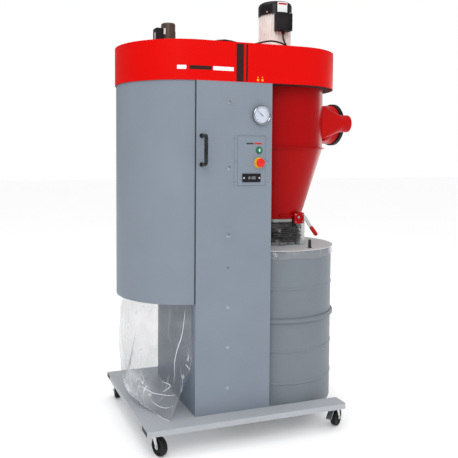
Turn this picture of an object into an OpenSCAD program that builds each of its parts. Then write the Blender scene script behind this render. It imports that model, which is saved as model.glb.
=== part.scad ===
// Two-stage cyclone dust collector on a wheeled steel base.
// Millimetres, +Z up, +X to the inlet side, -Y to the control side.
// The origin is on the floor, under the middle of the machine's outer box.

/* [Base] */
// Width of the sheet-steel deck
deck_w = 875; // [865:1:884]
// Depth of the deck's visible left end
deck_d = 704; // [700:1:704]
// Height of the deck's top above the floor
deck_z = 115; // [115:1:118]
// Height of the deck's folded lip
lip_h = 22; // [16:1:24]
// Depth of the narrow strip in front of the drum
strip_d = 78; // [76:0.5:78]
// Thickness of the deck's sheet
deck_t = 2; // [1.5:0.1:2.5]

/* [Casters] */
// Radius of a base caster's wheel
wheel_r = 37.5; // [35:0.5:37.5]
// Width of a base caster's tyre
wheel_w = 24; // [20:1:25]
// Distance from the swivel's axis to the wheel's axle
trail = 25; // [20:1:26]
// Radius of the wheel axles
axle_r = 5; // [4:0.5:6]

/* [Column] */
// Width of the flat front panel
column_w = 330; // [320:2:332]
// Height where the hood starts
hood_z = 1455; // [1430:1:1460]
// Height of the bottom edge of the filter housing
housing_z = 569; // [560:1:580]
// Height of the middle of the push handle
handle_z = 1181.5; // [1150:0.5:1200]
// Distance between the handle's two feet
handle_span = 113; // [100:1:130]

/* [Hood and filter] */
// Height of the red hood band
hood_h = 157; // [150:1:165]
// Radius of the hood's round ends
hood_r = 274; // [272:0.5:274]
// Outer radius of the filter housing
housing_r = 269; // [266:0.5:270]
// Outer radius of the pleated cartridge
cartridge_r = 185; // [170:1:188]
// Number of pleats in the cartridge
pleats = 72; // [48:2:80]

/* [Cyclone] */
// Outer radius of the barrel
barrel_r = 217; // [210:1:218]
// Height of the joint between barrel and cone
joint_z = 1196; // [1180:1:1210]
// Radius of the cone's outlet collar
outlet_r = 131; // [128:1:132]
// Outer radius of the main inlet's spigot
inlet_r = 95; // [90:1:96]
// Outer radius of the small inlet's spigot
branch_r = 39.5; // [36:0.5:41]
// Length of the small inlet's spigot
branch_len = 40; // [32:1:56]

/* [Drum] */
// Outer radius of the drum's wall
drum_r = 277; // [270:1:277]
// Height of the drum's rim
drum_top = 760; // [740:1:762]
// Height of the drum's underside
drum_bottom = 80; // [80:1:90]
// Radius of the lid
lid_r = 284; // [280:1:284]
// How far the lever lifts the lid
lid_lift = 34.4; // [30:0.1:34.4]

/* [Motors] */
// Outer radius of the fan motor's fins
motor_r = 72.5; // [71:0.5:78]
// Height of the fan motor's finned body
motor_h = 182; // [170:1:190]
// Number of fins round the fan motor
motor_fins = 32; // [24:2:36]
// Radius of the cleaning motor
shaker_r = 31; // [30:1:36]

/* [Hidden] */
$fn = 96;
eps = 0.05;            // running clearance of pins and shafts
cut = 1;               // how far a cutting solid passes the face it cuts
wall = 2;              // sheet of the cyclone and its ducts
seam = 0.3;            // step at the welded seam of two ducts

// Outer box: the hood's left end and the main inlet's ring are its two sides,
// the deck's lip and the rear arm are its front and back.
half_w = 570;
half_d = 352;
deck_x0 = -536;
deck_x1 = deck_x0 + deck_w;
front_y = -half_d;
notch_x = -140;        // left edge of the bay that the drum rolls out of
arm_y = 296;           // front edge of the rear arm
arm_x = -250;          // left end of the rear arm
lip_z = deck_z - lip_h;
corner_r = 10;         // rounded front corner of the strip
gap_front = 75;        // bare length of the left edge beside the front corner
gap_back = 55;

// Casters: swivel axis x, y and the way the wheel trails
casters = [[-484, -289, -68], [308.5, -306, 36], [-499, 285, 84], [300, 321, 180]];
plate_t = 3;
crown_z = deck_z - deck_t - plate_t - 2;   // top of a fork
fork_gap = wheel_w / 2 + 1.5;              // wheel's middle to the fork's leg
leg_t = 3;
pedal_x = -19.5;       // hinge of the brake pedal, along the fork
pedal_z = 88;

// Column
col_x0 = -315;
col_x1 = col_x0 + column_w;
col_y = -275;          // outer face of the front panel
sheet = 2;
frame_back = 237;
screw_x = -176;
screw_zs = [1373, 1111, 839, 550, 386, 217.5];
hole_z = 709;
handle_x = -292;
handle_out = 48;       // handle's bar to the panel

// Control panel
panel_x0 = -153;
panel_x1 = 0;
panel_z0 = 1037;
panel_z1 = 1243;
panel_t = 1.2;
panel_y = col_y - panel_t;
start_pos = [-43.5, 1183];
stop_pos = [-43, 1132];
start_r = 11;
stop_stem_r = 8;
meter = [-117, 1054, 80, 34];
gauge_pos = [-37, 1325];
gauge_r = 39;

// Hood, filter and cyclone axes
hood_xl = -half_w + hood_r;
hood_xr = 149;
hood_y = -2;
hood_top = hood_z + hood_h;
band_t = 1.5;
housing_x1 = -137;
filter_x = -331;
filter_y = 39;
axis_x = 168;
axis_y = 4;
drum_x = 153;
drum_y = 6;
floor_z = 600;         // plate under the filter chamber
spout_r = 247;
spout_x = -322;
spout_z = 564;
cartridge_z0 = 760;
bag_full_z = 330;      // the bag's inner side starts to slope in here
bag_low_z = 215;       // its outer side starts to slope in here
bag_low_x = -430;
weld_back = [-494, 200];
weld_mid = [-478, -60];
weld_front = [-424, -276];
paddle_r = 6;

// Inlets
inlet_y = 139;
inlet_z = 1319;
duct_y0 = 58;
duct_y1 = 220;
duct_h = 168;
duct_x1 = 470;
spigot_x = 522;
branch_y = -66;
branch_z = 1313;
branch_x = 472;

vortex_r = 86;
bolt_r = 2;

// Cone outlet, lid and lever
collar_z0 = 862;
collar_z1 = 905;
guide_r = 124;         // inner tube that the lid's collar slides on
lid_z0 = drum_top + 0.4;
lid_t = 3.6;
lid_top = lid_z0 + lid_t;
cuff_r = outlet_r + 0.3;
cuff_t = 2.2;
lever_y = -130;        // front face of the lever's bar
lever_t = 5;
pivot = [223, 890];
crank_a = asin(lid_lift / 60);          // the 30 mm crank swings this far each way
link_pin = [pivot[0] + 30 * cos(crank_a), pivot[1] - lid_lift / 2];
elbow = [256, 893];
grip_start = [286, 850];
grip_end = [319, 808];
pin_r = 4;
lug_z = 778;
bracket_x = 202;       // folded bracket that carries the lever
bracket_w = 48;
bracket_z = 862;
bracket_h = 48;

// Motors
shaft_r = 9.5;
cowl_h = 58;
cowl_z = hood_top + motor_h;
box_x = 165;
box_size = [72, 40, 75];
box_z = 1751;
gland_x = 162;
shaker_h = 121;

// Cables on top of the hood: hand-chosen points of each route
cable_r = 3.5;
motor_route = [[162, -87, 1699.4], [162, -87, 1690], [164, -91, 1671], [172, -95, 1651],
               [182, -95, 1635], [187, -94, 1624], [187, -94, 1612]];
hood_route = [[-384, 30, 1645.9], [-384, 29, 1637], [-380, 8, 1625], [-362, -40, 1617],
              [-318, -96, 1616.5], [-272, -150, 1617], [-218, -186, 1624], [-162, -196, 1632],
              [-106, -198, 1624], [-62, -198, 1617], [-14, -198, 1629], [44, -198, 1642],
              [94, -196, 1637], [132, -187, 1625], [164, -168, 1618], [184, -140, 1620],
              [190, -118, 1626], [192, -107, 1621], [192, -106, 1612]];

// ---------- shared shapes ----------

// A turned part: outline of [radius, height] points round Z
module turned(points) rotate_extrude() polygon(points);

// Ring round Z
module ring(r_out, r_in, z0, z1) {
    translate([0, 0, z0]) difference() {
        cylinder(r = r_out, h = z1 - z0);
        translate([0, 0, -cut]) cylinder(r = r_in, h = z1 - z0 + 2 * cut);
    }
}

// Cylinder from y0 to y1 along +Y, at [x, z]
module along_y(pos, r, y0, y1)
    translate([pos[0], y1, pos[1]]) rotate([90, 0, 0]) cylinder(r = r, h = y1 - y0);

// Cylinder from x0 to x1 along +X, at [y, z]
module along_x(pos, r, x0, x1)
    translate([x0, pos[0], pos[1]]) rotate([0, 90, 0]) cylinder(r = r, h = x1 - x0);

// Flat outline with two round ends
module obround(r) {
    translate([hood_xl, hood_y]) circle(r = r);
    translate([hood_xr, hood_y]) circle(r = r);
    translate([hood_xl, hood_y - r]) square([hood_xr - hood_xl, 2 * r]);
}

// D outline: round to the left, flat at x1
module d_outline(r, x1) {
    intersection() {
        translate([hood_xl, hood_y]) circle(r = r);
        translate([hood_xl - r - cut, hood_y - r - cut])
            square([min(r + cut, x1 - hood_xl + r + cut), 2 * r + 2 * cut]);
    }
    if (x1 > hood_xl)
        translate([hood_xl - cut, hood_y - r]) square([x1 - hood_xl + cut, 2 * r]);
}

// Smooth curve through hand-chosen points
function bend(a, b, c, d, t) =
    0.5 * (2 * b + (c - a) * t + (2 * a - 5 * b + 4 * c - d) * t * t
    + (3 * b - a - 3 * c + d) * t * t * t);
function route(p, steps) = let (n = len(p)) concat(
    [for (i = [0 : n - 2], k = [0 : steps - 1])
        bend(p[max(i - 1, 0)], p[i], p[i + 1], p[min(i + 2, n - 1)], k / steps)],
    [p[n - 1]]);
function unit(v) = v / norm(v);

// Tube swept along a route
module swept_tube(p, r, sides) {
    n = len(p);
    rings = [for (i = [0 : n - 1]) let (
        dir = unit(p[min(i + 1, n - 1)] - p[max(i - 1, 0)]),
        side = unit(cross(dir, [0.3, 1, 0.2])),
        up = cross(side, dir))
        [for (k = [0 : sides - 1]) let (a = 360 * k / sides)
            p[i] + r * (cos(a) * side + sin(a) * up)]];
    polyhedron(
        points = [for (c = rings, q = c) q],
        faces = concat(
            [[for (k = [0 : sides - 1]) k]],
            [for (i = [0 : n - 2], k = [0 : sides - 1]) let (m = (k + 1) % sides)
                [i * sides + k, (i + 1) * sides + k, (i + 1) * sides + m, i * sides + m]],
            [[for (k = [sides - 1 : -1 : 0]) (n - 1) * sides + k]]));
}

// ---------- base and casters ----------

module deck_outline() {
    translate([deck_x0, front_y]) square([notch_x - deck_x0, deck_d]);
    translate([deck_x0, front_y]) square([deck_w - corner_r, strip_d]);
    translate([deck_x0, front_y + corner_r]) square([deck_w, strip_d - corner_r]);
    translate([deck_x1 - corner_r, front_y + corner_r]) circle(r = corner_r);
    translate([arm_x, arm_y]) square([deck_x1 - arm_x, half_d - arm_y]);
}

module base_deck() color([0.50, 0.54, 0.58]) {
    difference() {
        translate([0, 0, lip_z]) linear_extrude(lip_h) deck_outline();
        // hollow underside of the left deck, the strip and the arm
        translate([deck_x0 + deck_t, front_y + deck_t, lip_z - cut])
            cube([notch_x - deck_x0 - 2 * deck_t, deck_d - 2 * deck_t, lip_h - deck_t + cut]);
        translate([notch_x - 3 * deck_t, front_y + deck_t, lip_z - cut])
            cube([deck_x1 - notch_x + 2 * deck_t, strip_d - 2 * deck_t, lip_h - deck_t + cut]);
        translate([arm_x + deck_t, arm_y + deck_t, lip_z - cut])
            cube([deck_x1 - arm_x - 2 * deck_t, half_d - arm_y - 2 * deck_t, lip_h - deck_t + cut]);
        // bare corners of the left edge
        translate([deck_x0 - cut, front_y + deck_t, lip_z - cut])
            cube([deck_t + 2 * cut, gap_front - deck_t, lip_h - deck_t + cut]);
        translate([deck_x0 - cut, front_y + deck_d - gap_back, lip_z - cut])
            cube([deck_t + 2 * cut, gap_back - deck_t, lip_h - deck_t + cut]);
    }
}

module caster_plates() color([0.75, 0.77, 0.78])
    for (c = casters) translate([c[0], c[1], 0]) {
        translate([-19, -22, deck_z - deck_t - plate_t]) cube([38, 44, plate_t]);
        translate([0, 0, crown_z - 12]) cylinder(r = 6, h = 14 + eps);
        translate([0, 0, crown_z - 12]) cylinder(r = 9, h = 5.9);
    }

module fork(i) color([0.78, 0.80, 0.80])
    translate([casters[i][0], casters[i][1], 0]) rotate([0, 0, casters[i][2]]) {
        difference() {
            union() {
                translate([0, 0, crown_z - 8]) cylinder(r = 22, h = 7.5);
                translate([-14, -fork_gap - leg_t, crown_z - 8])
                    cube([28, 2 * fork_gap + 2 * leg_t, 3]);
            }
            translate([0, 0, crown_z - 13]) cylinder(r = 6 + eps, h = 20);
            translate([0, 0, crown_z - 13]) cylinder(r = 9.6, h = 7);
        }
        for (side = [-1, 1])
            translate([0, side * (fork_gap + leg_t / 2) + leg_t / 2, 0]) rotate([90, 0, 0])
                linear_extrude(leg_t) {
                    polygon([[-14, crown_z - 6], [14, crown_z - 6], [16, lip_z - 4],
                             [trail + 8, wheel_r + 3], [trail + 4, wheel_r - 7],
                             [trail - 6, wheel_r - 5], [trail - 9, wheel_r + 4]]);
                    translate([trail, wheel_r]) circle(r = 9);
                }
        along_y([trail, wheel_r], axle_r, -fork_gap - leg_t - 3, fork_gap + leg_t + 3);
        // ears and pin of the brake pedal
        if (i == 1) {
            for (side = [-1, 1])
                translate([-24, side * 12.9 - 1.5, pedal_z - 6]) cube([12, 3, crown_z - pedal_z]);
            along_y([pedal_x, pedal_z], 2.5, -14.4, 14.4);
        }
    }

module wheel(i) color([0.07, 0.07, 0.07])
    translate([casters[i][0], casters[i][1], 0]) rotate([0, 0, casters[i][2]])
        translate([trail, 0, wheel_r]) rotate([90, 0, 0]) {
            w = wheel_w / 2;
            turned([[axle_r + eps, -w - 1], [11, -w - 1], [12, -w + 3], [wheel_r - 12, -w + 4],
                    [wheel_r - 9, -w], [wheel_r - 3, -w], [wheel_r - 0.8, -w + 3],
                    [wheel_r, -w + 7], [wheel_r, w - 7], [wheel_r - 0.8, w - 3],
                    [wheel_r - 3, w], [wheel_r - 9, w], [wheel_r - 12, w - 4], [12, w - 3],
                    [11, w + 1], [axle_r + eps, w + 1]]);
        }

// Brake pedal in front of the front-right wheel, hinged under the fork's crown
module brake_pedal() color([0.62, 0.64, 0.65])
    translate([casters[1][0], casters[1][1], 0]) rotate([0, 0, casters[1][2]])
        translate([pedal_x, 0, pedal_z]) difference() {
            rotate([90, 0, 0]) translate([0, 0, -11]) linear_extrude(22) {
                circle(r = 5);
                polygon([[-4, 3], [-42, -31], [-41, -36], [-36, -35], [4, -2]]);
            }
            rotate([90, 0, 0]) cylinder(r = 2.5 + eps, h = 40, center = true);
        }

// ---------- column ----------

module column_frame() color([0.40, 0.44, 0.48]) {
    h = housing_z - 1 - deck_z;
    translate([0, 0, deck_z]) linear_extrude(h) {
        translate([col_x0, col_y + sheet]) square([sheet, frame_back - col_y - sheet]);
        translate([col_x0, frame_back - sheet]) square([notch_x - 8 - col_x0, sheet]);
        translate([notch_x - 8 - sheet, frame_back - 30]) square([sheet, 30]);
        // upright that the panel's middle screws go into
        translate([screw_x - 20, col_y + sheet]) square([40, sheet]);
        translate([screw_x - 20, col_y + sheet]) square([sheet, 38]);
        translate([screw_x + 18, col_y + sheet]) square([sheet, 38]);
        translate([col_x0, col_y + sheet]) square([screw_x - col_x0, sheet]);
    }
}

module column_front() color([0.50, 0.54, 0.58]) difference() {
    union() {
        translate([col_x0, col_y, deck_z]) cube([column_w, sheet, hood_z - deck_z]);
        translate([col_x1 - sheet, col_y, deck_z]) cube([sheet, 25, hood_z - deck_z]);
    }
    for (z = screw_zs) along_y([screw_x, z], 2.6, col_y - cut, col_y + sheet + cut);
    along_y([screw_x, hole_z], 4, col_y - cut, col_y + sheet + cut);
    along_y(start_pos, start_r + 2, col_y - cut, col_y + sheet + cut);
    along_y(stop_pos, stop_stem_r + 2, col_y - cut, col_y + sheet + cut);
}

module front_screws() color([0.80, 0.82, 0.83]) {
    for (z = screw_zs) {
        along_y([screw_x, z], 2.55, col_y - 0.5, col_y + sheet);
        translate([screw_x, col_y, z]) rotate([90, 0, 0])
            turned([[0, 0], [8.6, 0], [8.8, 0.6], [8.2, 1.1], [5.6, 1.5], [4, 3.2], [0, 3.6]]);
    }
    for (x = [panel_x0 + 5.5, panel_x1 - 5.5], z = [panel_z0 + 13, panel_z0 + 100, panel_z1 - 15])
        translate([x, panel_y, z]) rotate([90, 0, 0])
            turned([[0, 0], [3.6, 0], [3.4, 1], [2.4, 1.9], [0, 2.1]]);
    translate([col_x1, col_y + 12, 980]) rotate([0, 90, 0])
        turned([[0, 0], [3.6, 0], [3.4, 1], [2.4, 1.9], [0, 2.1]]);
}

module push_handle() color([0.08, 0.08, 0.08]) {
    bar_y = col_y - handle_out;
    for (z = [handle_z - handle_span / 2, handle_z + handle_span / 2]) {
        along_y([handle_x, z], 9, col_y - 4, col_y);
        along_y([handle_x, z], 6, bar_y + 6, col_y);
        translate([handle_x, bar_y + 6, z]) sphere(r = 6, $fn = 48);
    }
    translate([handle_x, bar_y, handle_z - handle_span / 2 + 6])
        cylinder(r = 7.5, h = handle_span - 12);
    for (side = [-1, 1])
        translate([handle_x, bar_y + 3, handle_z + side * (handle_span / 2 - 3)])
            sphere(r = 7.5, $fn = 48);
}

module control_panel() color([0.50, 0.54, 0.58]) difference() {
    union() {
        translate([panel_x0, panel_y, panel_z0])
            cube([panel_x1 - panel_x0, panel_t, panel_z1 - panel_z0]);
        along_y(start_pos, 14.5, panel_y - 2.5, panel_y + 1);
    }
    along_y(start_pos, start_r + 0.08, panel_y - 5, col_y + cut);
    along_y(stop_pos, stop_stem_r + 0.08, panel_y - cut, col_y + cut);
}

module start_button() color([0.05, 0.55, 0.20])
    translate([start_pos[0], panel_y - 6, start_pos[1]]) rotate([-90, 0, 0])
        turned([[0, 0], [start_r - 1, 0], [start_r, 1], [start_r, 12], [0, 12]]);

module stop_collar() color([0.95, 0.78, 0.05])
    translate([stop_pos[0], panel_y, stop_pos[1]]) rotate([90, 0, 0])
        turned([[stop_stem_r + 0.08, 0], [21.5, 0], [21.5, 1.5], [20.5, 2.5],
                [14, 2.5], [13, 4], [stop_stem_r + 0.08, 4]]);

module stop_button() color([0.80, 0.05, 0.05])
    translate([stop_pos[0], col_y + 8, stop_pos[1]]) rotate([90, 0, 0])
        turned([[0, 0], [stop_stem_r, 0], [stop_stem_r, 19], [14, 21], [17.5, 23], [18, 26],
                [17, 29], [14, 31.5], [9, 33], [0, 33.6]]);

module hour_meter() color([0.05, 0.05, 0.05]) difference() {
    translate([meter[0], panel_y - 4, meter[1]]) cube([meter[2], 4, meter[3]]);
    translate([meter[0] + 22, panel_y - 5, meter[1] + 9]) cube([38, 2.2, 16]);
}

module gauge_case() color([0.80, 0.80, 0.82])
    translate([gauge_pos[0], col_y, gauge_pos[1]]) rotate([90, 0, 0])
        turned([[0, 0], [gauge_r - 5, 0], [gauge_r - 4, 5], [gauge_r, 6], [gauge_r, 13],
                [gauge_r - 1, 15], [gauge_r - 3, 16], [gauge_r - 5, 15], [gauge_r - 6, 13],
                [gauge_r - 6, 8], [2, 8], [2, 11], [0, 11]]);

module gauge_needle() color([0.1, 0.1, 0.1])
    translate([gauge_pos[0], col_y - 11.2, gauge_pos[1]]) rotate([90, 0, 0]) {
        cylinder(r = 3, h = 1.2);
        rotate(137) linear_extrude(0.8)
            polygon([[-9, -1.4], [-9, 1.4], [0, 1.4], [26, 0.4], [26, -0.4], [0, -1.4]]);
    }

module gauge_lens() color([0.85, 0.9, 0.95, 0.4])
    along_y(gauge_pos, gauge_r - 6.05, col_y - 14.5, col_y - 13);

// ---------- hood, fan and motors ----------

module hood_shell() color([0.86, 0.06, 0.05]) difference() {
    translate([0, 0, hood_z]) linear_extrude(hood_h) obround(hood_r);
    translate([0, 0, hood_z - cut]) linear_extrude(hood_h - band_t + cut) obround(hood_r - band_t);
    translate([axis_x, axis_y, hood_top - 5]) cylinder(r = 30, h = 10);
    translate([filter_x, filter_y, hood_top - 5]) cylinder(r = 20, h = 10);
}

module hood_floor() color([0.45, 0.48, 0.52]) difference() {
    translate([0, 0, hood_z]) linear_extrude(3) obround(hood_r - band_t - 0.2);
    translate([axis_x, axis_y, hood_z - cut]) cylinder(r = 88, h = 5);
    translate([filter_x, filter_y, hood_z - cut]) cylinder(r = 148, h = 5);
}

module fan_scroll() color([0.50, 0.52, 0.55])
    translate([axis_x, axis_y, 0]) difference() {
        union() {
            ring(205, 203, hood_z + 3, hood_z + 110);
            ring(205, 88, hood_z + 3, hood_z + 5);
            ring(205, 30, hood_z + 108, hood_z + 110);
        }
        // outlet window towards the filter
        translate([-220, -170, hood_z + 12]) cube([100, 200, 90]);
    }

module fan_impeller() color([0.62, 0.64, 0.66])
    translate([axis_x, axis_y, 0]) {
        ring(168, shaft_r, hood_z + 96, hood_z + 99);
        ring(24, shaft_r, hood_z + 60, hood_z + 104);
        for (k = [0 : 11]) rotate([0, 0, 30 * k]) difference() {
            translate([22, -1.5, hood_z + 20]) cube([144, 3, 77]);
            translate([20, -5, hood_z + 10]) cube([38, 10, 50]);
        }
    }

module motor_shaft() color([0.70, 0.71, 0.72])
    translate([axis_x, axis_y, hood_z + 55]) cylinder(r = shaft_r, h = cowl_z + 40 - hood_z - 55);

module motor_body() color([0.82, 0.83, 0.84])
    translate([axis_x, axis_y, hood_top]) difference() {
        union() {
            cylinder(r = motor_r - 8, h = motor_h);
            cylinder(r = motor_r + 2, h = 10);
            for (k = [0 : motor_fins - 1]) rotate([0, 0, 360 * (k + 0.5) / motor_fins])
                translate([motor_r - 12, -1.5, 8]) cube([12, 3, motor_h - 12]);
        }
        translate([0, 0, -cut]) cylinder(r = shaft_r + eps, h = motor_h + 2 * cut);
    }

module motor_cowl() color([0.06, 0.06, 0.06])
    translate([axis_x, axis_y, cowl_z]) difference() {
        turned([[motor_r - 20, 0], [motor_r + 3, 0], [motor_r + 3, cowl_h - 16],
                [motor_r - 1, cowl_h - 7], [motor_r - 9, cowl_h - 1.5], [motor_r - 16, cowl_h],
                [0, cowl_h], [0, cowl_h - 2], [motor_r - 17, cowl_h - 2],
                [motor_r - 10, cowl_h - 4], [motor_r - 3, cowl_h - 10], [motor_r, cowl_h - 18],
                [motor_r, 4], [motor_r - 20, 4]]);
        for (k = [0 : 11]) rotate([0, 0, 30 * k])
            translate([22, -2.5, cowl_h - 5]) cube([34, 5, 10]);
    }

module motor_box() color([0.08, 0.08, 0.08])
    translate([box_x, axis_y - motor_r + 4, box_z]) {
        w = box_size[0];
        d = box_size[1];
        h = box_size[2];
        difference() {
            translate([0, 0, -h / 2]) linear_extrude(h) {
                translate([-w / 2, -d + 6]) square([w, d - 6]);
                translate([-w / 2 + 6, -d]) square([w - 12, 8]);
                for (side = [-1, 1]) translate([side * (w / 2 - 6), -d + 6]) circle(r = 6);
            }
            translate([axis_x - box_x, motor_r - 4, -h]) cylinder(r = motor_r + 0.02, h = 2 * h);
        }
        translate([gland_x - box_x, -d / 2 - 2.5, -h / 2 - 14])
            turned([[0, 0], [5, 0], [8, 6], [8, 14], [0, 14]]);
        translate([-w / 2 + 7, -d - 1, -h / 2 + 7]) cube([w - 14, 2, h - 14]);
    }

module motor_cables() color([0.05, 0.05, 0.05]) {
    swept_tube(route(motor_route, 2), cable_r, 8);
    swept_tube(route(hood_route, 3), cable_r, 8);
}

module shaker_motor() color([0.42, 0.39, 0.36])
    translate([filter_x, filter_y, hood_top]) difference() {
        union() {
            turned([[0, 0], [shaker_r + 5, 0], [shaker_r + 5, 8], [shaker_r, 9],
                    [shaker_r, shaker_h - 4], [shaker_r - 4, shaker_h], [0, shaker_h]]);
            for (k = [0 : 15]) rotate([0, 0, 22.5 * k])
                translate([shaker_r - 3, -1.2, 14]) cube([4.2, 2.4, shaker_h - 50]);
        }
        translate([0, 0, -cut]) cylinder(r = paddle_r + eps, h = 86);
    }

module shaker_box() color([0.10, 0.10, 0.10]) difference() {
    translate([filter_x - 62, filter_y - 24, hood_top + 34]) cube([34, 48, 63]);
    translate([filter_x, filter_y, hood_top]) cylinder(r = shaker_r + 1.22, h = 200);
}

// ---------- filter ----------

module filter_housing() color([0.53, 0.57, 0.62])
    translate([0, 0, housing_z]) linear_extrude(hood_z - housing_z) difference() {
        d_outline(housing_r, housing_x1);
        d_outline(housing_r - band_t, housing_x1 - band_t);
    }

module filter_floor() color([0.45, 0.48, 0.52]) {
    difference() {
        translate([0, 0, floor_z]) linear_extrude(2)
            d_outline(housing_r - band_t - 0.3, housing_x1 - band_t - 0.3);
        translate([0, 0, floor_z - cut]) linear_extrude(5) d_outline(spout_r - 1.5, spout_x - 1.5);
    }
    translate([0, 0, spout_z]) linear_extrude(floor_z + 1 - spout_z) difference() {
        d_outline(spout_r, spout_x);
        d_outline(spout_r - 1.5, spout_x - 1.5);
    }
    // sloping plate that slides dust into the spout
    intersection() {
        translate([0, 262, 0]) rotate([90, 0, 0]) linear_extrude(530)
            polygon([[spout_x, floor_z + 1], [housing_x1 - 4, floor_z + 118],
                     [housing_x1 - 4, floor_z + 121], [spout_x - 1, floor_z + 4]]);
        translate([0, 0, floor_z]) linear_extrude(130)
            d_outline(housing_r - band_t - 2, housing_x1 - 4);
    }
}

module bag_clamp() color([0.72, 0.73, 0.74]) {
    translate([0, 0, 574]) linear_extrude(14) difference() {
        d_outline(spout_r + 3, spout_x + 3);
        d_outline(spout_r + 2, spout_x + 2);
    }
    translate([hood_xl - spout_r - 8, hood_y - 8, 572]) cube([5.5, 16, 18]);
}

// Pillow bag: a D at the spout that closes to a weld lying on the deck
module bag_body(inset) hull() {
    translate([0, 0, spout_z - 3]) linear_extrude(2)
        d_outline(spout_r + 1.6 - inset, spout_x + 1.6 - inset);
    translate([0, 0, bag_full_z]) linear_extrude(2)
        d_outline(spout_r - inset, spout_x + 0.4 - inset);
    translate([0, 0, bag_low_z]) linear_extrude(2)
        d_outline(spout_r - inset, bag_low_x - inset);
    translate([0, 0, deck_z + 0.3 + inset]) linear_extrude(2)
        for (end = [weld_back, weld_mid, weld_front]) translate(end) circle(r = 5 - inset, $fn = 24);
}

module dust_bag() color([0.85, 0.88, 0.90, 0.5]) {
    difference() {
        bag_body(0);
        bag_body(1.2);
        translate([0, 0, spout_z - 6]) linear_extrude(8) d_outline(spout_r + 0.3, spout_x + 0.3);
    }
    translate([0, 0, spout_z - 1.5]) linear_extrude(592 - spout_z) difference() {
        d_outline(spout_r + 1.9, spout_x + 1.9);
        d_outline(spout_r + 0.3, spout_x + 0.3);
    }
}

module filter_cartridge() color([0.90, 0.88, 0.82]) translate([filter_x, filter_y, 0]) {
    r_in = cartridge_r - 30;
    pleat = 180 / pleats;
    translate([0, 0, cartridge_z0 + 12]) linear_extrude(hood_z - cartridge_z0 - 26) difference() {
        polygon([for (k = [0 : 2 * pleats - 1])
            (k % 2 == 0 ? cartridge_r : cartridge_r - 22) * [cos(k * pleat), sin(k * pleat)]]);
        polygon([for (k = [0 : 2 * pleats - 1])
            (k % 2 == 0 ? cartridge_r - 5 : r_in) * [cos(k * pleat), sin(k * pleat)]]);
    }
    ring(cartridge_r + 4, r_in - 6, hood_z - 15, hood_z - 1);
    ring(cartridge_r + 4, r_in - 6, cartridge_z0, cartridge_z0 + 13);
    // spider that carries the lower end of the paddle shaft
    difference() {
        union() {
            for (a = [0, 90]) rotate([0, 0, a])
                translate([-r_in, -6, cartridge_z0 + 1]) cube([2 * r_in, 12, 4]);
            translate([0, 0, cartridge_z0 + 1]) cylinder(r = 14, h = 12);
        }
        translate([0, 0, cartridge_z0 - 5]) cylinder(r = paddle_r + eps, h = 30);
    }
}

module paddle_shaft() color([0.66, 0.67, 0.68]) translate([filter_x, filter_y, 0]) {
    translate([0, 0, cartridge_z0 + 2]) cylinder(r = paddle_r, h = hood_top + 80 - cartridge_z0 - 2);
    for (a = [0, 180]) rotate([0, 0, a]) difference() {
        translate([3, -1.5, cartridge_z0 + 30]) cube([138, 3, 600]);
        translate([30, -5, cartridge_z0 + 70]) cube([80, 10, 230]);
        translate([30, -5, cartridge_z0 + 340]) cube([80, 10, 230]);
    }
}

// ---------- cyclone ----------

module cyclone_barrel() color([0.66, 0.03, 0.04]) translate([axis_x, axis_y, 0]) {
    difference() {
        union() {
            ring(barrel_r, barrel_r - 2, joint_z, hood_z);
            ring(barrel_r + 9, barrel_r - 2, joint_z, joint_z + 3);
            ring(barrel_r, vortex_r + 0.1, hood_z - 3, hood_z);
            for (z = [joint_z + 10, hood_z - 40])
                translate([housing_x1 - axis_x, -40, z]) cube([92, 80, 3]);
        }
        // window behind the tangential duct and the one behind the branch
        translate([0, duct_y0 + 2 - axis_y, inlet_z - duct_h / 2 + 2])
            cube([260, duct_y1 - duct_y0 - 6, duct_h - 4]);
        translate([100, branch_y - 45 - axis_y, branch_z - 68]) cube([160, 90, 136]);
        flange_bolts() translate([0, 0, joint_z - cut]) cylinder(r = bolt_r + eps, h = 6, $fn = 24);
    }
}

// Tube that carries the cleaned air up to the fan, with its flange under the barrel's top
module vortex_tube() color([0.66, 0.03, 0.04]) translate([axis_x, axis_y, 0]) {
    ring(vortex_r, vortex_r - 2, joint_z - 30, hood_z);
    ring(vortex_r + 18, vortex_r - 1, hood_z - 5, hood_z - 3.1);
}

// The joint's bolts, at three places round the barrel's axis
module flange_bolts()
    for (a = [-10, 110, 230]) rotate([0, 0, a]) translate([barrel_r + 4.5, 0, 0]) children();

module cyclone_cone() color([0.62, 0.03, 0.04]) translate([axis_x, axis_y, 0]) difference() {
    turned([[barrel_r - 2, joint_z], [barrel_r + 9, joint_z], [barrel_r + 9, joint_z - 3],
            [barrel_r, joint_z - 3], [outlet_r, collar_z1], [outlet_r, collar_z0],
            [outlet_r - 2, collar_z0], [outlet_r - 2, collar_z1 - 6],
            [guide_r, collar_z1 - 6], [guide_r, lid_z0 + 9], [guide_r - 2, lid_z0 + 9],
            [guide_r - 2, collar_z1 - 4], [outlet_r - 2, collar_z1 - 4],
            [outlet_r - 2, collar_z1], [barrel_r - 2, joint_z - 3]]);
    flange_bolts() translate([0, 0, joint_z - 4]) cylinder(r = bolt_r + eps, h = 6, $fn = 24);
}

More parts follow.
